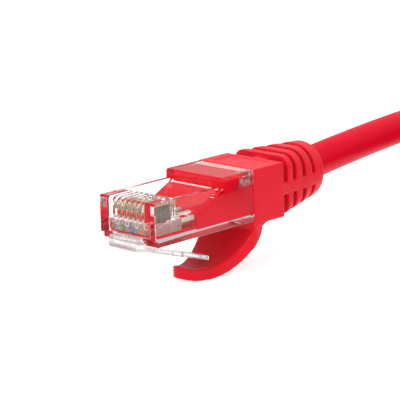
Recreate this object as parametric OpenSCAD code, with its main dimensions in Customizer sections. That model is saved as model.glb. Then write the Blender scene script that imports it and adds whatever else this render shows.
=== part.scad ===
// Ethernet patch cable, 1 m: two clear 8P8C plugs with snagless boots on a round cord.
// Millimetres, +Z up. X runs along the near plug, nose towards -X, pin 1 on its -Y side.
// The origin lies on the surface that the cable stands on, below the middle of the near plug.

/* [Plug housing] */
// Width of the clear housing
body_w = 11.68; // [11.58:0.02:11.78]
// Length of the clear housing in front of the boot
body_len = 21; // [20.6:0.1:21.4]
// Height of the housing at the contacts
nose_h = 6.6; // [6.4:0.05:6.8]
// Height of the housing behind the shoulder
rear_h = 8; // [7.8:0.05:8.2]
// Distance from the nose to the shoulder
shoulder_x = 13.9; // [13.5:0.1:14.2]
// Thickness of the side walls beside the open recess
side_wall = 0.95; // [0.8:0.05:1.1]

/* [Contacts and wires] */
// Distance between neighbouring contacts
pitch = 1.02; // [1.01:0.01:1.03]
// Thickness of a contact blade
blade_t = 0.34; // [0.3:0.02:0.36]
// Height of the blades' top edge
blade_top = 5.85; // [5.7:0.05:6]
// Diameter of an insulated wire
wire_d = 0.94; // [0.86:0.02:0.96]
// Height of the lower row of wires
lower_row_z = 2; // [1.98:0.01:2.05]
// Height of the upper row of wires
upper_row_z = 2.75; // [2.7:0.01:2.8]

/* [Latch] */
// Width of the latch between its catch shoulders
latch_w = 5.9; // [5.6:0.1:6]
// Width of the latch tail
tail_w = 3.25; // [3:0.05:3.4]
// Where the latch narrows to its tail
catch_x = 8.6; // [8.2:0.1:9]
// Where the tail ends
tail_end_x = 15.6; // [15.2:0.1:15.8]

/* [Boot and hook] */
// Half of the boot block's width
boot_half_w = 6.04; // [5.95:0.01:6.1]
// Length of the boot block
block_len = 6.6; // [6.2:0.1:7]
// Length of the slotted sleeve behind the block
sleeve_len = 11; // [10.8:0.1:11.4]
// Outer radius of the sleeve's end collar
collar_r = 4.6; // [4.4:0.1:4.8]
// Thickness of the hook
hook_t = 1.8; // [1.7:0.1:2]
// Width of the hook where it leaves the boot
hook_root_w = 11; // [10.4:0.1:11.4]

/* [Cord] */
// Diameter of the cord
cord_d = 5.4; // [5.2:0.1:5.5]
// Thickness of the ties round the coil
tie_t = 0.6; // [0.4:0.1:0.8]
// Width of a tie, as an angle of the coil
tie_angle = 11; // [8:1:14]

/* [Hidden] */
$fn = 48;
SIDES = ["near_", "far_"];
PINS = [1, 2, 3, 4, 5, 6, 7, 8];
CORD_NODES = ["cable_lead", "cable_coil", "cable_tail", "coil_ties"];
PLUG_NODES = ["housing", "latch", "load_bar", "inner_mould", "strain_bar", "boot", "hook"];

CLEAR = [0.9, 0.93, 0.95, 0.45];
BOOT_RED = [0.86, 0.09, 0.14];
GOLD = [0.85, 0.68, 0.35];
// Insulation colours of pins 1 to 8
WIRE_COLOURS = ["navajowhite", "darkorange", "honeydew", "royalblue",
    "aliceblue", "seagreen", "antiquewhite", "saddlebrown"];

// Places in a plug, from the foot of its nose: X to the rear, Z up
half_w = body_w / 2;
nose_step = [0.6, 0.95];
edge_soft = 0.3;
rib_recess = 0.25;
rib_round = 0.9;
front_wall = 0.8;
slot_w = blade_t + 0.1;
rib_half_w = 3.5 * pitch;
slot_end_x = 4.3;
recess_x = 4.7;
tunnel_half_w = 4.4;
tunnel_floor = 1.1;
tunnel_top = 3.4;
tongue_top = 1.5;
tongue_x = 1.2;
comb_end_x = 6.2;
ramp = [[9.2, 3.4], [14, 5.7], [14.8, 6.1]];
floor_t = 0.45;
mould_half_w = 4.95;
mould_floor = 1;
mould_top = 7.2;
strain_x = [19.1, body_len];
strain_half_w = 4.8;
strain_z = [mould_top, rear_h - 0.05];
strain_leg = [18.2, 4.3, 5.6];
pocket_x = [14.1, 15.2];
pocket_z = [5.2, 6.2];
spigot = [0.46, 5.2, 0.8, 7.2];
fit = 0.05;

axis_z = 4.3;
jacket_x = 15.5;
neck_r = 3.2;
neck_end_x = 24;
fan_x = 11.5;
fan_roof = [[fan_x - 0.2, 3.6], [14.3, 5.2], [jacket_x, 5.5]];
fan_floor = 1.4;

latch_pin = [0.15, 0.6, 0.5];
latch_gap = 0.15;
latch_front_x = -1.2;
latch_foot_z = -0.9;
latch_top = [[0.9, -0.4], [tail_end_x, -5.05]];
latch_foot = [[0.9, -1.15], [tail_end_x, -5.75]];

boot_x = body_len;
block_end_x = boot_x + block_len;
boot_end_x = block_end_x + sleeve_len;
block_z = [-0.6, 8.05];
sleeve_front_z = [-0.7, 8.5];
sleeve_front_half_w = 5.95;
sleeve_corner_r = 1.3;
core_r = 3.6;
groove_w = [1.35, 1.1, 1, 0.95];
groove_x = [for (i = [0:3]) block_end_x + 2.6 * i];
spine_z = [2.8, 4.55];
panel_depth = 0.15;

hook_pin = [22.4, -0.5, 0.95];
hook_gap = 0.2;
hook_path = [[22.2, -1.2], [21.4, -3.6], [15.6, -10], [9, -6.2]];
hook_steps = 14;
hook_tip = [12.05, 2.2];
hook_foot_z = -8.2;

// Places of the two plugs and of the coil
near_place = [-(boot_end_x + latch_front_x) / 2, 0, -hook_foot_z];
coil_centre = [88, -15.7];
coil_inner_r = 27.3;
coil_outer_r = coil_inner_r + cord_d;
coil_layers = 3;
far_place = [61 - boot_end_x, coil_centre[1] - coil_outer_r, -hook_foot_z];

// The cord's route from inside the near plug to the coil
LEAD_ROUTE = [[-3.2, 0, 12.5], [4, 0, 12.5], [12, 0, 12.5], [16, 0.1, 12.55], [19.8, 0.4, 12.65],
    [25, 1.4, 12.8], [31, 2.5, 12.95], [40.5, 4.5, 13], [49, 6.4, 12.9], [56.5, 8.4, 12.6],
    [66, 11.4, 11.8], [74, 14, 10.6], [77, 14.9, 10.1]];
// The cord's route from the coil to inside the far plug
TAIL_ROUTE = [[75.5, -48.4, 13.4], [69, -48.4, 12.8], [61, -48.4, 12.5], [52, -48.4, 12.5],
    [44, -48.4, 12.5], [37.9, -48.4, 12.5]];
TUBE_SIDES = 12;
TUBE_STEPS = 2;

function pin_y(p) = (p - 4.5) * pitch;
function is_upper(p) = p % 2 == 1;
function pin_z(p) = is_upper(p) ? upper_row_z : lower_row_z;
function tine_z(p) = pin_z(p) - 0.35;
function lerp(a, b, t) = a + (b - a) * t;
function ease(t) = t * t * (3 - 2 * t);
function unit(v) = v / norm(v);
function bezier(p, t) = p[0] * pow(1 - t, 3) + p[1] * 3 * t * pow(1 - t, 2)
    + p[2] * 3 * pow(t, 2) * (1 - t) + p[3] * pow(t, 3);
function bezier_way(p, t) = unit((p[1] - p[0]) * pow(1 - t, 2) + (p[2] - p[1]) * 2 * t * (1 - t)
    + (p[3] - p[2]) * pow(t, 2));
function left_of(v) = [-v[1], v[0]];
function bezier_side(p, off, steps) = [for (i = [0:steps])
    bezier(p, i / steps) + left_of(bezier_way(p, i / steps)) * off];
function arc(c, r, a0, a1, steps) = [for (i = [0:steps])
    c + r * [cos(lerp(a0, a1, i / steps)), sin(lerp(a0, a1, i / steps))]];
function flipped(pts) = [for (i = [len(pts) - 1:-1:0]) pts[i]];

// A smooth curve through the route's points, and the tube swept along it
function catmull(p, i, t) = let (
    a = p[max(i - 1, 0)], b = p[i], c = p[i + 1], d = p[min(i + 2, len(p) - 1)])
    0.5 * (2 * b + (c - a) * t + (2 * a - 5 * b + 4 * c - d) * pow(t, 2)
    + (3 * b - a - 3 * c + d) * pow(t, 3));
function curve(p) = concat([for (i = [0:len(p) - 2]) for (k = [0:TUBE_STEPS - 1])
    catmull(p, i, k / TUBE_STEPS)], [p[len(p) - 1]]);
function way(c, i) = unit(c[min(i + 1, len(c) - 1)] - c[max(i - 1, 0)]);
function ring(c, i) = let (w = way(c, i), s = unit(cross([0, 0, 1], w)), u = cross(w, s))
    [for (k = [0:TUBE_SIDES - 1]) c[i] + cord_d / 2
    * (s * cos(360 * k / TUBE_SIDES) + u * sin(360 * k / TUBE_SIDES))];
function tube_faces(n) = concat([[for (k = [0:TUBE_SIDES - 1]) k]],
    [for (i = [0:n - 2]) for (k = [0:TUBE_SIDES - 1])
    let (a = i * TUBE_SIDES, b = a + TUBE_SIDES, m = (k + 1) % TUBE_SIDES) [a + k, b + k, b + m, a + m]],
    [[for (k = [TUBE_SIDES - 1:-1:0]) (n - 1) * TUBE_SIDES + k]]);

module tube(route) {
    c = curve(route);
    polyhedron(points = [for (i = [0:len(c) - 1]) for (q = ring(c, i)) q], faces = tube_faces(len(c)));
}

// An X-Z outline given a width in Y
module along_y(w) rotate([90, 0, 0]) linear_extrude(height = w, center = true) children();

// A rod along X from x0 to x1
module rod_x(x0, x1, r) translate([x0, 0, 0]) rotate([0, 90, 0]) cylinder(h = x1 - x0, r = r);

// A rod along Y about the middle plane
module rod_y(x, z, r, w) translate([x, w / 2, z]) rotate([90, 0, 0]) cylinder(h = w, r = r);

// A box from its X, Y and Z limits
module block(x, y, z) translate([x[0], y[0], z[0]]) cube([x[1] - x[0], y[1] - y[0], z[1] - z[0]]);

// Two boxes, one on each side of the middle plane, from Y limits on the +Y side
module block_pair(x, y, z) for (m = [0, 1]) mirror([0, m, 0]) block(x, y, z);

function pin_gap(p, w) = [pin_y(p) - w / 2, pin_y(p) + w / 2];

module tine_slots(p, w) block([1.2, 3.8], pin_gap(p, w), [tine_z(p) - 0.1, tunnel_top + 0.1]);

module housing() color(CLEAR) difference() {
    union() {
        along_y(body_w) polygon([[0, nose_step[1]], nose_step, [nose_step[0], 0], [body_len, 0],
            [body_len, rear_h], [shoulder_x + edge_soft, rear_h], [shoulder_x, rear_h - edge_soft],
            [shoulder_x, nose_h], [edge_soft, nose_h], [0, nose_h - edge_soft]]);
        // The latch root's groove is cut into a wedge that fills the middle of the step
        along_y(latch_w + 1) polygon([[0, nose_step[1] + 0.1], [0, nose_step[1]], [nose_step[0], 0],
            [nose_step[0] + 0.1, 0], [nose_step[0] + 0.1, nose_step[1] + 0.1]]);
        block([body_len - 1, body_len + spigot[0]], [-spigot[1], spigot[1]], [spigot[2], spigot[3]]);
    }
    // Slots for the contacts, open at the nose
    for (p = PINS) {
        block([-1, slot_end_x], pin_gap(p, slot_w), [tunnel_top - 0.1, nose_h + 1]);
    }
    // The ribs between the contacts stand back from the side pillars and round off at the top
    along_y(2 * rib_half_w) polygon(concat([[-1, tunnel_top], [rib_recess, tunnel_top]],
        arc([rib_recess + rib_round, nose_h - rib_round], rib_round, 180, 90, 6),
        [[rib_recess + rib_round, nose_h + 1], [-1, nose_h + 1]]));
    // Tunnel of the wires and load bar
    block([front_wall, ramp[0][0] + 1], [-tunnel_half_w, tunnel_half_w], [tunnel_floor, tunnel_top]);
    // Room for the inner mould
    along_y(2 * mould_half_w) polygon([[ramp[0][0], mould_floor], ramp[0], ramp[1], ramp[2],
        [ramp[2][0], mould_top], [body_len + 1, mould_top], [body_len + 1, mould_floor]]);
    // Open recess between the contacts and the shoulder
    along_y(body_w - 2 * side_wall) polygon([[recess_x, nose_h + 2], [recess_x, tunnel_top + floor_t],
        [ramp[0][0] - 0.4, ramp[0][1] + floor_t], ramp[1] + [-0.4, floor_t], [shoulder_x, nose_h],
        [shoulder_x, nose_h + 2]]);
    // Window of the strain bar
    block([strain_x[0], body_len + 1], [-strain_half_w, strain_half_w], [mould_top - 1, rear_h + 1]);
    // Groove and clearance of the latch root
    rod_y(latch_pin[0], latch_pin[1], latch_pin[2] + latch_gap, latch_w + 0.4);
    along_y(latch_w + 0.4)
        polygon([[-1, -1], [-1, latch_pin[1]], [latch_pin[0] + 0.45, latch_pin[1]], [1.6, -1]]);
}

module latch() color(CLEAR) intersection() {
    union() {
        rod_y(latch_pin[0], latch_pin[1], latch_pin[2], latch_w);
        along_y(latch_w) polygon(concat([[latch_front_x, latch_foot_z + 0.3], [latch_front_x, 0.8],
            [latch_front_x + 0.3, 1.1], [-0.2, 1.1], [latch_pin[0], latch_pin[1] + 0.3]],
            [[latch_pin[0] + 0.35, 0.2]], latch_top, flipped(latch_foot), [[-0.8, latch_foot_z]]));
    }
    // Seen from above, the catch shoulders step in to the tail
    translate([0, 0, -10]) linear_extrude(height = 15) polygon([[-2, -latch_w / 2], [catch_x, -latch_w / 2],
        [catch_x, -tail_w / 2], [tail_end_x - 0.5, -tail_w / 2], [tail_end_x, -tail_w / 2 + 0.5],
        [tail_end_x, tail_w / 2 - 0.5], [tail_end_x - 0.5, tail_w / 2], [catch_x, tail_w / 2],
        [catch_x, latch_w / 2], [-2, latch_w / 2]]);
}

module contact(p) color(GOLD) translate([0, pin_y(p), 0]) along_y(blade_t) polygon(concat(
    arc([1.15, blade_top - 0.55], 0.55, 180, 90, 6), arc([4, blade_top - 0.2], 0.2, 90, 0, 3),
    [[4.2, 3.45], [3.7, 3.45], [3.4, tine_z(p)], [3.1, 3.45], [2.1, 3.45], [1.8, tine_z(p)], [1.5, 3.45],
    [1.2, 3.45], [1.2, 4.6], [0.6, 4.6]]));

// A wire lies straight in its row, then fans in to the end of the jacket
module wire(p) color(WIRE_COLOURS[p - 1]) difference() {
    row = [pin_y(p), pin_z(p)];
    fan = [pin_y(p) * 0.48, axis_z + (is_upper(p) ? 0.6 : -0.75)] - row;
    centres = concat([[front_wall + 0.05, row[0], row[1]]], [for (t = [0:0.25:1])
        [lerp(fan_x, jacket_x, t), row[0] + fan[0] * ease(t), row[1] + fan[1] * ease(t)]]);
    polyhedron(points = [for (c = centres) for (k = [0:TUBE_SIDES - 1])
        c + wire_d / 2 * [0, cos(360 * k / TUBE_SIDES), sin(360 * k / TUBE_SIDES)]],
        faces = tube_faces(len(centres)));
    tine_slots(p, blade_t + 0.04);
}

module load_bar() color(CLEAR) difference() {
    block([front_wall + 0.05, comb_end_x], [-tunnel_half_w + fit, tunnel_half_w - fit],
        [tongue_top, tunnel_top - fit]);
    for (p = PINS) {
        translate([0, pin_y(p), pin_z(p)]) rod_x(0, comb_end_x + 1, wire_d / 2 + 0.01);
        tine_slots(p, slot_w);
    }
}

module inner_mould() color(BOOT_RED) difference() {
    union() {
        along_y(2 * (mould_half_w - fit)) polygon([[ramp[0][0] + fit, mould_floor + fit],
            ramp[0] + [fit, -fit], ramp[1] + [fit, -fit], ramp[2] + [fit, -fit],
            [ramp[2][0] + fit, mould_top - fit], [body_len + spigot[0], mould_top - fit],
            [body_len + spigot[0], mould_floor + fit]]);
        // Tongue under the wires
        block([tongue_x, ramp[0][0] + 1], [-tunnel_half_w + fit, tunnel_half_w - fit],
            [tunnel_floor + fit, tongue_top - fit]);
        translate([0, 0, axis_z]) rod_x(body_len, neck_end_x, neck_r);
    }
    for (p = PINS) {
        translate([0, pin_y(p), pin_z(p)]) rod_x(ramp[0][0] - 1, fan_x + 1, wire_d / 2 + 0.01);
    }
    // Chamber in which the wires fan in
    along_y(8.6) polygon(concat([[fan_roof[0][0], fan_floor]], fan_roof, [[jacket_x, fan_floor]]));
    // Notches for the legs of the strain bar, and pockets below the shoulder
    block_pair([strain_leg[0] - fit, body_len], [strain_leg[1] - fit, half_w], [strain_leg[2] - fit, rear_h]);
    block_pair(pocket_x, [strain_leg[1], half_w], pocket_z);
    translate([0, 0, axis_z]) rod_x(jacket_x - 0.1, neck_end_x + 1, cord_d / 2 + fit);
}

module strain_bar() color(CLEAR) {
    block(strain_x + [fit, -fit], [-strain_half_w + fit, strain_half_w - fit], strain_z);
    // A leg on each side reaches down beside the inner mould
    block_pair([strain_leg[0], body_len - fit], [strain_leg[1], mould_half_w - fit],
        [strain_leg[2], mould_top - fit]);
    block_pair(strain_x + [fit, -fit], [strain_leg[1], strain_half_w - fit], [strain_leg[2], strain_z[1]]);
}

// Thin upright slice of the sleeve where it meets the block, with round corners
module sleeve_front() translate([block_end_x, 0, 0]) rotate([90, 0, 90]) linear_extrude(height = 0.1) {
    y = sleeve_front_half_w - sleeve_corner_r;
    z = sleeve_front_z + [sleeve_corner_r, -sleeve_corner_r];
    polygon(concat(arc([y, z[0]], sleeve_corner_r, -90, 0, 5), arc([y, z[1]], sleeve_corner_r, 0, 90, 5),
        arc([-y, z[1]], sleeve_corner_r, 90, 180, 5), arc([-y, z[0]], sleeve_corner_r, 180, 270, 5)));
}

module boot() color(BOOT_RED) difference() {
    union() {
        block([boot_x, block_end_x], [-boot_half_w, boot_half_w], block_z);
        hull() {
            sleeve_front();
            translate([0, 0, axis_z]) rod_x(boot_end_x - 0.5, boot_end_x, collar_r, $fn = 32);
        }
    }
    translate([0, 0, axis_z]) {
        rod_x(boot_x - 1, boot_end_x + 1, cord_d / 2 + fit);
        rod_x(boot_x - 1, neck_end_x + fit, neck_r + fit);
    }
    block([boot_x - 1, boot_x + spigot[0] + fit], [-spigot[1] - fit, spigot[1] + fit],
        [spigot[2] - fit, spigot[3] + fit]);
    // Flexing grooves round the sleeve, bridged by a spine on each side
    for (i = [0:3]) difference() {
        block([groove_x[i], groove_x[i] + groove_w[i]], [-8, 8], [-3, 11]);
        translate([0, 0, axis_z]) rod_x(groove_x[i] - 1, groove_x[i] + 3, core_r);
        block([groove_x[i] - 1, groove_x[i] + 3], [-9, 9], spine_z);
    }
    block([boot_x + 1.2, block_end_x - 1], [-4, 4], [block_z[1] - panel_depth, block_z[1] + 1]);
    rod_y(hook_pin[0], hook_pin[1], hook_pin[2] + hook_gap, 20);
}

module hook() color(BOOT_RED) intersection() {
    union() {
        rod_y(hook_pin[0], hook_pin[1], hook_pin[2], hook_root_w);
        along_y(hook_root_w) polygon(concat(bezier_side(hook_path, hook_t / 2, hook_steps),
            flipped(bezier_side(hook_path, -hook_t / 2, hook_steps)), [[hook_pin[0] + 0.7, hook_pin[1]],
            [hook_pin[0] - 0.7, hook_pin[1]]]));
    }
    // Seen from above, the hook tapers to a round tip; its foot is cut flat
    translate([0, 0, hook_foot_z]) linear_extrude(height = 12) polygon(concat(
        [[30, -hook_root_w / 2], [30, hook_root_w / 2], [21.2, hook_root_w / 2]],
        arc([hook_tip[0], 0], hook_tip[1], 103, 257, 16), [[21.2, -hook_root_w / 2]]));
}

// Rounded outline of the coil's cross-section, grown by t
module bundle_outline(t) {
    r = cord_d / 2 + t;
    x = [coil_inner_r, coil_outer_r];
    z = [tie_t + cord_d / 2, tie_t + cord_d * (coil_layers - 0.5)];
    polygon(concat(arc([x[1], z[0]], r, -90, 0, 6), arc([x[1], z[1]], r, 0, 90, 6),
        arc([x[0], z[1]], r, 90, 180, 6), arc([x[0], z[0]], r, 180, 270, 6)));
}

module cable_coil() color(BOOT_RED) translate(coil_centre) rotate_extrude($fn = 96) bundle_outline(0);

module coil_ties() color("whitesmoke") for (a = [20, 200]) {
    translate(coil_centre) rotate([0, 0, a - tie_angle / 2]) rotate_extrude(angle = tie_angle, $fn = 96)
        difference() {
            bundle_outline(tie_t);
            bundle_outline(0.02);
        }
}

for (i = [0, 1]) translate(i == 0 ? near_place : far_place) {
    s = SIDES[i];
    housing();
    latch();
    load_bar();
    inner_mould();
    strain_bar();
    boot();
    hook();
    for (p = PINS) {
        contact(p);
        wire(p);
    }
}
color(BOOT_RED) tube(LEAD_ROUTE);  // cable_lead
color(BOOT_RED) tube(TAIL_ROUTE);  // cable_tail
cable_coil();
coil_ties();
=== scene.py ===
import math

import bmesh
import bpy
from mathutils import Matrix, Vector


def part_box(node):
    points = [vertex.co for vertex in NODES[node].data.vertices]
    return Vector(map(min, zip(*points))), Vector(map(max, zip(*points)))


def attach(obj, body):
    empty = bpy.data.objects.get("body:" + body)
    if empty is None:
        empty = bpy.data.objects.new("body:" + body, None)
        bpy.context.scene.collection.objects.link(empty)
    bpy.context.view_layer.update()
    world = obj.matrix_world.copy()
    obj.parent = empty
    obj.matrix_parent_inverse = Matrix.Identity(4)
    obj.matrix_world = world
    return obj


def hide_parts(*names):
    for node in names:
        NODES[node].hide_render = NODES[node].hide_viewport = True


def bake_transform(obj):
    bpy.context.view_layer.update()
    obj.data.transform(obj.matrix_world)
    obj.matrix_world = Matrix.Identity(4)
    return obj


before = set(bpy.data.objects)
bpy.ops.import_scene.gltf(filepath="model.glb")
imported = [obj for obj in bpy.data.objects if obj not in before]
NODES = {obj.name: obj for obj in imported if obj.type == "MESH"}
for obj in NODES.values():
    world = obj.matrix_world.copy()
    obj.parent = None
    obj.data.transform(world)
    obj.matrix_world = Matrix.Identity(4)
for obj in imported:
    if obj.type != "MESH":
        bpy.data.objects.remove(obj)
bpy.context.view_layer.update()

MM = 0.001
TO_METRES = Matrix.Scale(MM, 4)
TO_MM = Matrix.Scale(1 / MM, 4)
PINS = range(1, 9)


def box_mm(node):
    """Lowest and highest corner of a CAD node, in millimetres."""
    low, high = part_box(node)
    return low / MM, high / MM


NEAR_BODY = box_mm("near_housing")
FAR_SHIFT = box_mm("far_housing")[0] - NEAR_BODY[0]


# ---------------------------------------------------------------- camera

def turned(azimuth, elevation, roll):
    """The camera's right, up and back directions. Angles in degrees."""
    a, e, r = (math.radians(x) for x in (azimuth, elevation, roll))
    back = Vector((math.sin(a) * math.cos(e), -math.cos(a) * math.cos(e), math.sin(e)))
    right = Vector((math.cos(a), math.sin(a), 0))
    up = back.cross(right)
    return (right * math.cos(r) + up * math.sin(r), up * math.cos(r) - right * math.sin(r), back)


# Azimuth, elevation and roll in degrees; place, lens and sensor in millimetres
CAMERA_ANGLES = (-44.867, 13.413, -1.942)
CAMERA_PLACE = Vector((-211.8, -209.3, 82.2))
CAMERA_LENS = 179.79
CAMERA_SENSOR = 36


def add_camera():
    """The camera that took the photograph, as solved from the plug's known sizes."""
    right, up, back = turned(*CAMERA_ANGLES)
    data = bpy.data.cameras.new("camera")
    data.lens, data.sensor_width = CAMERA_LENS, CAMERA_SENSOR
    data.clip_start, data.clip_end = 0.01, 20
    camera = bpy.data.objects.new("camera", data)
    bpy.context.scene.collection.objects.link(camera)
    turn = Matrix((right, up, back)).transposed().to_4x4()
    camera.matrix_world = Matrix.Translation(CAMERA_PLACE * MM) @ turn
    bpy.context.scene.camera = camera


add_camera()


# ---------------------------------------------------------------- mesh tools

# Points closer than MERGE become one. CUT is how near a plane a point counts as on it
MERGE, CUT = 0.002, 0.0005
# Faces whose normals agree more than this face the same way
SAME_WAY = 0.99
# Pieces are shaded smooth over edges up to this angle, in degrees
SMOOTH = 40


def object_from(bm, name, body=None, replaces=(), smooth_angle=SMOOTH, material=None):
    """A new object from a bmesh in millimetres, riding on a body."""
    mesh = bpy.data.meshes.new(name)
    bm.to_mesh(mesh)
    bm.free()
    mesh.transform(TO_METRES)
    mesh.shade_smooth()
    if smooth_angle:
        mesh.set_sharp_from_angle(angle=math.radians(smooth_angle))
    obj = bpy.data.objects.new(name, mesh)
    bpy.context.scene.collection.objects.link(obj)
    if material:
        mesh.materials.append(material)
    if body:
        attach(obj, body)
    if replaces:
        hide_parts(*replaces)
    return obj


def cad_copy(*nodes, flat_angle=0.5, middle=None):
    """A bmesh in millimetres of these CAD nodes, with each flat face made one again.

    Where middle is given, faces stay cut at the plane Y = middle, which keeps holes out of them.
    """
    bm = bmesh.new()
    for node in nodes:
        bm.from_mesh(NODES[node].data)
    bm.transform(TO_MM)
    bmesh.ops.remove_doubles(bm, verts=bm.verts, dist=MERGE)
    if middle is not None:
        cut = bmesh.ops.bisect_plane(bm, geom=[*bm.verts, *bm.edges, *bm.faces],
                                     plane_co=(0, middle, 0), plane_no=(0, 1, 0), dist=CUT)
        for part in cut["geom_cut"]:
            if isinstance(part, bmesh.types.BMEdge):
                part.seam = True
    bmesh.ops.dissolve_limit(bm, angle_limit=math.radians(flat_angle), verts=bm.verts,
                             edges=bm.edges, delimit={"SEAM"})
    return bm


def bevelled(bm, width, segments=2, angle=30):
    """Rounds the edges that are sharper than angle, in degrees."""
    limit = math.radians(angle)
    sharp = [e for e in bm.edges if len(e.link_faces) == 2 and e.calc_face_angle(0) > limit]
    bmesh.ops.bevel(bm, geom=sharp, offset=width, segments=segments, profile=0.5, affect="EDGES",
                    clamp_overlap=False, offset_type="OFFSET")
    return bm


def remeshed(bm, voxel, smoothing):
    """One closed skin round everything in the bmesh, with soft edges."""
    mesh = bpy.data.meshes.new("remesh_source")
    bm.to_mesh(mesh)
    bm.free()
    obj = bpy.data.objects.new("remesh_source", mesh)
    bpy.context.scene.collection.objects.link(obj)
    remesh = obj.modifiers.new("remesh", "REMESH")
    remesh.mode, remesh.voxel_size = "VOXEL", voxel
    smooth = obj.modifiers.new("smooth", "SMOOTH")
    smooth.factor, smooth.iterations = 0.5, smoothing
    result = bmesh.new()
    result.from_object(obj, bpy.context.evaluated_depsgraph_get())
    bpy.data.objects.remove(obj)
    bpy.data.meshes.remove(mesh)
    return result


def grown(bm, distance):
    """Moves every face outwards by distance."""
    bmesh.ops.recalc_face_normals(bm, faces=bm.faces)
    places = {}
    for vert in bm.verts:
        normals = []
        for face in vert.link_faces:
            if all(face.normal.dot(n) < SAME_WAY for n in normals):
                normals.append(face.normal.copy())
        places[vert] = vert.co + sum(normals, Vector()) * distance
    for vert, place in places.items():
        vert.co = place
    return bm


def moved(bm, shift):
    """A second bmesh, moved by shift."""
    other = bm.copy()
    bmesh.ops.translate(other, verts=other.verts, vec=shift)
    return other


def swept(line, radius, sides=24):
    """A round rod along a line of points, in a new bmesh."""
    bm = bmesh.new()
    side = Vector((0, 0, 1)).cross(line[1] - line[0]).normalized()
    rings = []
    for i, point in enumerate(line):
        way = (line[min(i + 1, len(line) - 1)] - line[max(i - 1, 0)]).normalized()
        side = (side - way * side.dot(way)).normalized()
        up = way.cross(side)
        angles = [math.tau * k / sides for k in range(sides)]
        rings.append([bm.verts.new(point + (side * math.cos(a) + up * math.sin(a)) * radius)
                      for a in angles])
    for first, second in zip(rings, rings[1:]):
        for k in range(sides):
            m = (k + 1) % sides
            bm.faces.new((first[k], first[m], second[m], second[k]))
    bm.faces.new(rings[0][::-1])
    bm.faces.new(rings[-1])
    bmesh.ops.recalc_face_normals(bm, faces=bm.faces)
    return bm


def smooth_line(points, steps):
    """A Catmull-Rom curve through the points, with this many steps between each two."""
    points = [Vector(p) for p in points]
    line = []
    for i in range(len(points) - 1):
        a, b = points[max(i - 1, 0)], points[i]
        c, d = points[i + 1], points[min(i + 2, len(points) - 1)]
        for k in range(steps):
            t = k / steps
            line.append(0.5 * (2 * b + (c - a) * t + (2 * a - 5 * b + 4 * c - d) * t ** 2
                               + (3 * b - a - 3 * c + d) * t ** 3))
    return line + [points[-1]]


# ---------------------------------------------------------------- materials

class Look:
    """A node material round one Principled shader. Places on the surface are in millimetres."""

    def __init__(self, name, colour, roughness, **sockets):
        self.material = bpy.data.materials.new(name)
        self.material.use_nodes = True
        self.tree = self.material.node_tree
        self.shader = next(n for n in self.tree.nodes if n.type == "BSDF_PRINCIPLED")
        self.shader.inputs["Base Color"].default_value = (*colour, 1)
        self.shader.inputs["Roughness"].default_value = roughness
        for socket, value in sockets.items():
            self.shader.inputs[socket.replace("_", " ")].default_value = value
        place = self.node("ShaderNodeTexCoord")
        scale = self.node("ShaderNodeVectorMath", operation="SCALE")
        scale.inputs["Scale"].default_value = 1 / MM
        self.tree.links.new(place.outputs["Object"], scale.inputs[0])
        self.place = scale.outputs[0]
        self.height = None

    def node(self, kind, **settings):
        made = self.tree.nodes.new(kind)
        for key, value in settings.items():
            setattr(made, key, value)
        return made

    def link(self, out, to):
        self.tree.links.new(out, to)

    def noise(self, size, detail=3, stretch=(1, 1, 1)):
        """Noise with blobs of about this size in millimetres."""
        at = self.node("ShaderNodeVectorMath", operation="MULTIPLY")
        at.inputs[1].default_value = [s / size for s in stretch]
        self.link(self.place, at.inputs[0])
        made = self.node("ShaderNodeTexNoise")
        made.inputs["Scale"].default_value = 1
        made.inputs["Detail"].default_value = detail
        self.link(at.outputs[0], made.inputs["Vector"])
        return made.outputs["Fac"]

    def spread(self, value, low, high, start=0.3, end=0.7):
        """value from start to end, mapped to low to high."""
        made = self.node("ShaderNodeMapRange")
        for name, limit in (("From Min", start), ("From Max", end), ("To Min", low), ("To Max", high)):
            made.inputs[name].default_value = limit
        self.link(value, made.inputs["Value"])
        return made.outputs["Result"]

    def mix(self, share, first, second):
        """A colour between two, each a colour or a socket."""
        made = self.node("ShaderNodeMix", data_type="RGBA")
        self.link(share, made.inputs["Factor"])
        for value, socket in ((first, made.inputs["A"]), (second, made.inputs["B"])):
            if isinstance(value, tuple):
                socket.default_value = (*value, 1)
            else:
                self.link(value, socket)
        return made.outputs["Result"]

    def colour(self, out):
        self.link(out, self.shader.inputs["Base Color"])

    def roughness(self, out):
        self.link(out, self.shader.inputs["Roughness"])

    def bump(self, height, depth):
        """Relief of this depth in millimetres, over what came before."""
        made = self.node("ShaderNodeBump")
        made.inputs["Strength"].default_value = 1
        made.inputs["Distance"].default_value = depth * MM
        self.link(height, made.inputs["Height"])
        if self.height:
            self.link(self.height, made.inputs["Normal"])
        self.height = made.outputs["Normal"]
        self.link(self.height, self.shader.inputs["Normal"])

    def maths(self, operation, first, second=0.0):
        """The result of one operation on sockets or numbers."""
        made = self.node("ShaderNodeMath", operation=operation)
        for value, socket in ((first, made.inputs[0]), (second, made.inputs[1])):
            if isinstance(value, (int, float)):
                socket.default_value = value
            else:
                self.link(value, socket)
        return made.outputs[0]

    def axis(self, source, name):
        """One axis of a vector socket."""
        made = self.node("ShaderNodeSeparateXYZ")
        self.link(source, made.inputs[0])
        return made.outputs[name]

    def facing(self, name):
        """How squarely the surface faces along an axis, either way: 0 to 1."""
        normal = self.node("ShaderNodeNewGeometry").outputs["Normal"]
        return self.maths("ABSOLUTE", self.axis(normal, name))

    def edges(self, start=0.52, end=0.58):
        """0 to 1 as the surface's pointiness goes from start to end. The defaults pick out raised edges."""
        made = self.node("ShaderNodeNewGeometry")
        return self.spread(made.outputs["Pointiness"], 0, 1, start, end)


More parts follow.
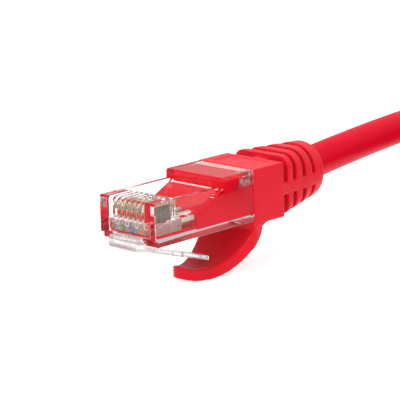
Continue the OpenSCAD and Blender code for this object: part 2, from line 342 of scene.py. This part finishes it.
def soft_pvc(name, colour, dark, painted_edge_highlight, grain, roughness=0.4, gloss=0.1, sheen=0.14, paint_edge_highlight_and_crease_shade=True):
    """Soft PVC with faint clouding and a fine satin grain.

    When the last flag is on, raised edges are lighter, a painted highlight, and each crease is darker, a
    painted shade.
    """
    look = Look(name, colour, roughness, Specular_IOR_Level=gloss, Sheen_Weight=sheen,
                Sheen_Roughness=0.4, Subsurface_Weight=0.3, Subsurface_Scale=0.5 * MM,
                Subsurface_Radius=(1, 0.25, 0.2))
    clouds = look.mix(look.spread(look.noise(3.5), 0, 1), dark, colour)
    # Painted highlight on raised edges, and painted shade in the concave places, both picked by pointiness
    if paint_edge_highlight_and_crease_shade:
        with_painted_edge_highlight = look.mix(look.edges(), clouds, painted_edge_highlight)
        clouds = look.mix(look.edges(0.41, 0.49), tuple(c * 0.5 for c in dark), with_painted_edge_highlight)
    look.colour(clouds)
    look.roughness(look.spread(look.noise(0.9), roughness - 0.05, roughness + 0.07))
    look.bump(look.noise(grain, detail=2), 0.02)
    look.bump(look.noise(4), 0.05)
    return look.material


def cast_pvc(name, colour, dark):
    """PVC cast against clear plastic: it has no gloss of its own, and faint clouding."""
    look = Look(name, colour, 0.4, Specular_IOR_Level=0.02)
    look.colour(look.mix(look.spread(look.noise(3.5), 0, 1), dark, colour))
    look.roughness(look.spread(look.noise(0.9), 0.36, 0.46))
    look.bump(look.noise(0.25, detail=2), 0.02)
    return look.material


# Polycarbonate's refractive index, and a tint that dims the white studio's reflections in it
POLYCARBONATE = 1.585
SPECULAR_TINT = (0.05, 0.05, 0.05, 1)
# The pillars at the sides of the nose stand further than this from the plug's middle
PILLAR_Y = 3.8


def clear_plastic(name, roughness, colour=(0.99, 0.995, 0.995), painted_pillar_glow=None):
    """Clear moulded polycarbonate with faint flow waves.

    The pillar colour is a painted glow: the mould's red, painted on the front face of each side pillar of the
    nose in place of the red light that shines through them.
    """
    look = Look(name, colour, roughness, IOR=POLYCARBONATE, Transmission_Weight=1,
                Specular_Tint=SPECULAR_TINT)
    if painted_pillar_glow:
        y = look.axis(look.place, "Y")
        off_middle = look.maths("MINIMUM", look.maths("ABSOLUTE", y),
                                look.maths("ABSOLUTE", look.maths("SUBTRACT", y, FAR_SHIFT.y)))
        outside = look.maths("GREATER_THAN", off_middle, PILLAR_Y)
        front = look.maths("GREATER_THAN", look.facing("X"), 0.9)
        # Painted glow: the front faces of each side pillar take the mould's red
        look.colour(look.mix(look.maths("MULTIPLY", outside, front), colour, painted_pillar_glow))
    look.roughness(look.spread(look.noise(1.2), roughness * 0.6, roughness * 1.6))
    look.bump(look.noise(2.4, detail=1, stretch=(0.4, 1, 1)), 0.012)
    return look.material


def milky_plastic(name):
    """The wire comb's clouded plastic, with a painted pink glow in place of the red light round it."""
    look = Look(name, (0.98, 0.64, 0.60), 0.14, IOR=POLYCARBONATE, Transmission_Weight=0.7)
    look.colour(look.mix(look.spread(look.noise(0.7), 0, 1), (0.99, 0.72, 0.68), (0.97, 0.48, 0.45)))
    look.bump(look.noise(0.8), 0.01)
    return look.material


def frosted(name):
    """The strain bar's clouded plastic: light pink on top; on its sides a painted red glow of the mould behind,
    with painted highlights as whitish blobs.
    """
    look = Look(name, (0.92, 0.60, 0.59), 0.45, IOR=POLYCARBONATE, Transmission_Weight=0.45)
    top = look.mix(look.spread(look.noise(1.6), 0, 1), (0.93, 0.66, 0.65), (0.90, 0.50, 0.50))
    # Painted highlights: whitish blobs on the sides, over a painted red glow of the mould
    blobs = look.spread(look.noise(1.1, detail=1), 0, 1, 0.5, 0.62)
    side = look.mix(blobs, (0.72, 0.10, 0.14), (0.95, 0.80, 0.80))
    look.colour(look.mix(look.spread(look.facing("Z"), 1, 0, 0.4, 0.6), top, side))
    look.roughness(look.spread(look.noise(0.5), 0.35, 0.6))
    look.bump(look.noise(0.3), 0.02)
    return look.material


def gold(name, flat_bright, flat_dark):
    """A stamped blade: gold plate along its edges, and two duller colours on its flat sides."""
    look = Look(name, (0.83, 0.62, 0.30), 0.25, Metallic=1)
    worn = look.spread(look.noise(0.5, stretch=(0.3, 3, 1)), 0, 1, 0.35, 0.75)
    plate = look.mix(worn, (0.97, 0.74, 0.40), (0.75, 0.56, 0.34))
    flat = look.mix(worn, flat_bright, flat_dark)
    side = look.spread(look.facing("Y"), 0, 1, 0.75, 0.95)
    look.colour(look.mix(side, plate, flat))
    look.link(look.maths("SUBTRACT", 1, side), look.shader.inputs["Metallic"])
    look.roughness(look.spread(look.noise(0.2, stretch=(1, 1, 0.1)), 0.18, 0.38))
    look.bump(look.noise(0.12, stretch=(1, 1, 0.1)), 0.004)
    return look.material


def copper(name):
    """The cut end of a wire's core."""
    look = Look(name, (0.55, 0.22, 0.1), 0.35, Metallic=1)
    look.colour(look.mix(look.spread(look.noise(0.2), 0, 1), (0.60, 0.27, 0.14), (0.28, 0.10, 0.06)))
    return look.material


def insulation(name, colour, stripe):
    """A wire's insulation with faint die lines, and rings of a second colour if it has one."""
    look = Look(name, colour, 0.35, Specular_IOR_Level=0.5)
    clouds = look.mix(look.spread(look.noise(1.5), 0, 1), colour, tuple(c * 0.9 for c in colour))
    if stripe:
        wave = look.node("ShaderNodeTexWave", wave_type="BANDS", bands_direction="X", wave_profile="SIN")
        wave.inputs["Scale"].default_value = 0.06
        wave.inputs["Distortion"].default_value = 0.4
        look.link(look.place, wave.inputs["Vector"])
        band = look.spread(wave.outputs["Fac"], 0, 1, 0.78, 0.84)
        around = look.spread(look.facing("X"), 1, 0, 0.5, 0.9)
        clouds = look.mix(look.maths("MULTIPLY", band, around), clouds, stripe)
    look.colour(clouds)
    look.bump(look.noise(0.4, stretch=(0.1, 1, 1)), 0.006)
    return look.material


def strap(name):
    """Woven hook-and-loop tape."""
    look = Look(name, (0.86, 0.86, 0.84), 0.75, Sheen_Weight=0.4)
    weave = look.node("ShaderNodeTexWave", wave_type="BANDS", bands_direction="Z", wave_profile="SIN")
    weave.inputs["Scale"].default_value = 0.55
    weave.inputs["Distortion"].default_value = 1.5
    look.link(look.place, weave.inputs["Vector"])
    look.colour(look.mix(look.spread(look.noise(0.35), 0, 1), (0.88, 0.88, 0.86), (0.74, 0.74, 0.72)))
    look.bump(weave.outputs["Fac"], 0.06)
    look.bump(look.noise(0.22, detail=4), 0.08)
    return look.material


def floor_material():
    """A floor bright enough to show as white."""
    look = Look("studio_floor", (0.5, 0.5, 0.5), 0.9, Emission_Strength=0.75)
    look.shader.inputs["Emission Color"].default_value = (1, 1, 1, 1)
    look.colour(look.mix(look.spread(look.noise(60), 0, 1), (0.49, 0.49, 0.49), (0.51, 0.51, 0.51)))
    return look.material


# The boot's third colour is its painted highlight on raised edges; its grooves also get painted shade
BOOT = soft_pvc("boot_pvc", (0.66, 0.006, 0.02), (0.59, 0.006, 0.018), (0.70, 0.03, 0.04), grain=0.16)
# Behind clear plastic a colour loses light to inner reflections, so the mould's is lighter than the boot's
MOULD = cast_pvc("mould_pvc", (0.98, 0.012, 0.035), (0.97, 0.01, 0.03))
SHEATH = soft_pvc("sheath_pvc", (0.60, 0.003, 0.02), (0.56, 0.002, 0.017), (0.58, 0.01, 0.03),
                  grain=0.22, roughness=0.34, gloss=0.04, sheen=0, paint_edge_highlight_and_crease_shade=False)
CLEAR = clear_plastic("clear_polycarbonate", 0.02, painted_pillar_glow=(0.98, 0.55, 0.58))
COMB = milky_plastic("comb_polycarbonate")
LATCH = clear_plastic("latch_polycarbonate", 0.22, (0.80, 0.77, 0.77))
GOLD = gold("contact_gold", (0.95, 0.76, 0.50), (0.80, 0.62, 0.40))
# Contact 1 shows its flat side, which is dark: the same gold blade, with painted shade on its flat sides
PAINTED_SHADE_GOLD = gold("contact_gold_painted_shade", (0.22, 0.15, 0.125), (0.13, 0.095, 0.085))
COPPER = copper("copper_core")
STRAP = strap("tie_tape")
FROSTED = frosted("frosted_polycarbonate")
# Each pin's wire: material name, colour, and the colour of its rings
WIRES = {
    1: ("wire_white_orange", (0.90, 0.78, 0.68), (0.85, 0.30, 0.03)),
    2: ("wire_orange", (0.88, 0.30, 0.02), None),
    3: ("wire_white_green", (0.78, 0.86, 0.78), (0.03, 0.35, 0.10)),
    4: ("wire_blue", (0.03, 0.12, 0.50), None),
    5: ("wire_white_blue", (0.76, 0.80, 0.88), (0.03, 0.12, 0.50)),
    6: ("wire_green", (0.02, 0.30, 0.09), None),
    7: ("wire_white_brown", (0.82, 0.76, 0.70), (0.22, 0.08, 0.03)),
    8: ("wire_brown", (0.20, 0.075, 0.03), None),
}
INSULATION = {pin: insulation(*WIRES[pin]) for pin in PINS}


# ---------------------------------------------------------------- cord

CORD_D = 5.4
# From inside the near plug to the coil, and from the coil to inside the far plug
LEAD_ROUTE = [(4, 0, 12.5), (12, 0, 12.5), (16, 0.1, 12.55), (19.8, 0.4, 12.65), (25, 1.4, 12.8),
              (31, 2.5, 12.95), (40.5, 4.5, 13), (49, 6.4, 12.9), (56.5, 8.4, 12.6),
              (66, 11.4, 11.8), (74, 14, 10.6), (77, 14.9, 10.1)]
TAIL_ROUTE = [(75.5, -48.4, 13.4), (69, -48.4, 12.8), (61, -48.4, 12.5), (52, -48.4, 12.5),
              (44, -48.4, 12.5), (37.9, -48.4, 12.5)]
# Steps of the smooth curve between each two route points
ROUTE_STEPS = 5
COIL_CENTRE = Vector((88, -15.7, 0))
# The coil's columns, by radius, and its layers, by height
COIL_R = (27.3, 32.7)
COIL_Z = (3.3, 8.7, 14.1)
TURN_POINTS = 60
# The coil starts in this column and layer. Each move: from this angle to that one, and the new column and layer
COIL_START = (1, 1)
COIL_MOVES = [(295, 350, 1, 0), (600, 650, 0, 0), (905, 955, 0, 1), (1210, 1260, 0, 2), (1500, 1560, 1, 2)]
COIL_END = 1620


def ease(t):
    """0 to 1 with a soft start and end."""
    t = min(max(t, 0), 1)
    return t * t * (3 - 2 * t)


def coil_line():
    """The coil's turns, wound clockwise as seen from above."""
    line = []
    for i in range(int(COIL_END * TURN_POINTS / 360) + 1):
        turn = i * 360 / TURN_POINTS
        radius, height = COIL_R[COIL_START[0]], COIL_Z[COIL_START[1]]
        for start, end, column, layer in COIL_MOVES:
            share = ease((turn - start) / (end - start))
            radius += (COIL_R[column] - radius) * share
            height += (COIL_Z[layer] - height) * share
        angle = math.radians(90 - turn)
        line.append(COIL_CENTRE + Vector((radius * math.cos(angle), radius * math.sin(angle), height)))
    return line


def cord_line():
    """The whole cord's centre line, from the near plug to the far one."""
    coil = coil_line()
    into = smooth_line([*LEAD_ROUTE, coil[0], coil[2]], ROUTE_STEPS)[:-ROUTE_STEPS]
    out_of = smooth_line([coil[-3], coil[-1], *TAIL_ROUTE], ROUTE_STEPS)[ROUTE_STEPS:]
    return into + coil[1:-1] + out_of


CORD_LINE = cord_line()
cord = object_from(swept(CORD_LINE, CORD_D / 2), "cord", "cable",
                   ("cable_lead", "cable_coil", "cable_tail"), smooth_angle=50, material=SHEATH)


# ---------------------------------------------------------------- plugs

# The near hook's hinge, from the plug's nose and the underside of its clear body
HINGE_X = NEAR_BODY[0].x + 22.4
HINGE_Z = NEAR_BODY[0].z - 0.5
# The hook's flexing root: the outline of its side view from the hinge, as X, Z and the half width there
ROOT_OUTLINE = [(-1.4, 0.9, 6.03), (1.5, 0.9, 6.03), (1.5, -0.12, 6.03), (0.95, -0.3, 5.95),
                (0.72, -0.8, 5.6), (0.66, -1.4, 5.5), (0.4, -2.05, 5.5), (-0.02, -2.75, 5.5),
                (-0.65, -3.5, 5.5), (-1.4, -4.15, 5.5), (-1.6, -3.6, 5.5), (-1.0, -2.4, 5.5),
                (-1.25, -1.4, 5.5), (-1.4, -0.6, 5.7), (-1.4, -0.12, 6.03)]
VOXEL = 0.12
SKIN_SMOOTHING = 12
# The mould is cast against the clear body: its skin reaches this far past the CAD gap, so no air shows
CONTACT = 0.06
# In clear plastic the flat faces must refract as flat, so this smaller angle parts them from the bevels
FLAT = 16
# Widths of the bevels
BODY_BEVEL, LATCH_BEVEL, COMB_BEVEL, BAR_BEVEL, BLADE_BEVEL, TIE_BEVEL = 0.045, 0.1, 0.02, 0.04, 0.03, 0.15
# The copper cores: half the clear body's width, the wires' spacing, and their two rows above its underside
HALF_BODY, PITCH = 5.84, 1.02
LOW_ROW, HIGH_ROW = 2.0, 2.75
CORE_R, CORE_LENGTH, CORE_PROUD = 0.26, 0.6, 0.03


def boot_and_hook():
    """Boot and hook are one moulding: its skin fills the CAD hinge's groove with the flexing root."""
    bm = cad_copy("near_boot", "near_hook")
    ends = [[bm.verts.new((HINGE_X + x, side * half, HINGE_Z + z)) for x, z, half in ROOT_OUTLINE]
            for side in (-1, 1)]
    bm.faces.new(ends[0])
    bm.faces.new(ends[1][::-1])
    for i in range(len(ROOT_OUTLINE)):
        k = (i + 1) % len(ROOT_OUTLINE)
        bm.faces.new((ends[0][k], ends[0][i], ends[1][i], ends[1][k]))
    return remeshed(bm, VOXEL, SKIN_SMOOTHING)


def add_moulding(side, skin, shift):
    """One plug's boot with its hook and the hook's root, in one skin."""
    obj = object_from(moved(skin, shift), f"{side}_boot_moulding", smooth_angle=None,
                      material=BOOT)
    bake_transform(obj)
    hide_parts(f"{side}_boot", f"{side}_hook")
    return obj


def copper_cores(side, shift):
    """The ends of the eight cores, in one bmesh, each a little proud of its wire."""
    cores = bmesh.new()
    for pin in PINS:
        row = LOW_ROW if pin % 2 == 0 else HIGH_ROW
        start = Vector((box_mm(f"{side}_wire_{pin}")[0].x - CORE_PROUD,
                        NEAR_BODY[0].y + shift.y + HALF_BODY + (pin - 4.5) * PITCH,
                        NEAR_BODY[0].z + row))
        core = swept([start, start + Vector((CORE_LENGTH, 0, 0))], CORE_R, 16)
        mesh = bpy.data.meshes.new("core")
        core.to_mesh(mesh)
        core.free()
        cores.from_mesh(mesh)
        bpy.data.meshes.remove(mesh)
    return cores


def plug_pieces(side, shift):
    """The pieces of one plug, apart from its boot."""
    pieces = []

    def add(name, bm, body, material, node=None, angle=SMOOTH):
        replaced = [f"{side}_{node}"] if node else []
        pieces.append(object_from(bm, f"{side}_{name}", body, replaced, angle, material))

    def copy(node, middle=None):
        return cad_copy(f"{side}_{node}", middle=middle)

    add("body_shell", bevelled(copy("housing", shift.y), BODY_BEVEL), "cable", CLEAR, "housing", FLAT)
    add("latch_lever", bevelled(copy("latch"), LATCH_BEVEL), f"{side}_latch", LATCH, "latch", FLAT)
    add("wire_comb", bevelled(copy("load_bar"), COMB_BEVEL, 1), "cable", COMB, "load_bar", FLAT)
    add("strain_relief_bar", bevelled(copy("strain_bar"), BAR_BEVEL), "cable", FROSTED, "strain_bar",
        FLAT)
    add("mould", grown(copy("inner_mould"), CONTACT), "cable", MOULD, "inner_mould")
    for pin in PINS:
        blade, wire = f"contact_{pin}", f"wire_{pin}"
        add(f"blade_{pin}", bevelled(copy(blade), BLADE_BEVEL), "cable",
            PAINTED_SHADE_GOLD if pin == 1 else GOLD, blade)
        add(f"insulated_wire_{pin}", copy(wire), "cable", INSULATION[pin], wire)
    add("copper_cores", copper_cores(side, shift), "cable", COPPER)
    return pieces


boot_skin = boot_and_hook()
add_moulding("near", boot_skin, Vector())
far_moulding = add_moulding("far", boot_skin, FAR_SHIFT)
boot_skin.free()
plug_pieces("near", Vector())
far_pieces = plug_pieces("far", FAR_SHIFT)


# ---------------------------------------------------------------- ties

ties = object_from(bevelled(cad_copy("coil_ties", flat_angle=0.1), TIE_BEVEL), "coil_straps", "cable",
                   ["coil_ties"], SMOOTH, STRAP)


# ---------------------------------------------------------------- studio

# How the studio's brightness fades along a direction: from this cosine to that one
FADE = (-0.8, 0.9)
FLOOR_RADIUS = 3000
# The floor lies this far under the part, so that the coil doesn't touch it
FLOOR_GAP = 0.02


def add_floor():
    """A wide round floor."""
    bm = bmesh.new()
    bmesh.ops.create_circle(bm, cap_ends=True, segments=64, radius=FLOOR_RADIUS)
    floor = object_from(bm, "floor", material=floor_material())
    floor.location.z = -FLOOR_GAP * MM


def add_light(name, place, target, size, power):
    """A square softbox that faces its target. Places and size in metres, power in watts."""
    data = bpy.data.lights.new(name, "AREA")
    data.energy, data.size = power, size
    light = bpy.data.objects.new(name, data)
    light.location = place
    light.rotation_mode = "QUATERNION"
    light.rotation_quaternion = (Vector(place) - Vector(target)).to_track_quat("Z", "Y")
    bpy.context.scene.collection.objects.link(light)


def add_world():
    """White studio: bright above and behind the object, half as bright on the camera's side."""
    world = bpy.data.worlds.new("studio")
    bpy.context.scene.world = world
    world.use_nodes = True
    tree = world.node_tree
    background = next(n for n in tree.nodes if n.type == "BACKGROUND")
    place = tree.nodes.new("ShaderNodeTexCoord")
    a = math.radians(CAMERA_ANGLES[0])
    away = Vector((-math.sin(a), math.cos(a), 0))

    def along(direction, low, high):
        """Brightness that goes from low to high along a direction."""
        dot = tree.nodes.new("ShaderNodeVectorMath")
        dot.operation = "DOT_PRODUCT"
        dot.inputs[1].default_value = direction
        tree.links.new(place.outputs["Generated"], dot.inputs[0])
        ranged = tree.nodes.new("ShaderNodeMapRange")
        ranged.interpolation_type = "SMOOTHSTEP"
        for name, limit in (("From Min", FADE[0]), ("From Max", FADE[1]), ("To Min", low), ("To Max", high)):
            ranged.inputs[name].default_value = limit
        tree.links.new(dot.outputs["Value"], ranged.inputs["Value"])
        return ranged.outputs["Result"]

    total = tree.nodes.new("ShaderNodeMath")
    tree.links.new(along(away, 0.12, 0.24), total.inputs[0])
    tree.links.new(along((0, 0, 1), 0.0, 0.5), total.inputs[1])
    tree.links.new(total.outputs[0], background.inputs["Strength"])
    background.inputs["Color"].default_value = (1, 1, 1, 1)


add_floor()
add_world()
add_light("top_softbox", (0.0, 0.05, 0.7), (0.0, 0.0, 0.0), 0.7, 4)
add_light("left_softbox", (-0.55, -0.1, 0.3), (0.0, 0.0, 0.01), 0.4, 2)
add_light("front_softbox", (-0.15, -0.55, 0.4), (0.0, 0.0, 0.0), 0.4, 0.9)
scene = bpy.context.scene
scene.view_settings.view_transform = "Standard"
scene.cycles.max_bounces, scene.cycles.transmission_bounces = 48, 40
scene.cycles.diffuse_bounces, scene.cycles.glossy_bounces = 16, 24
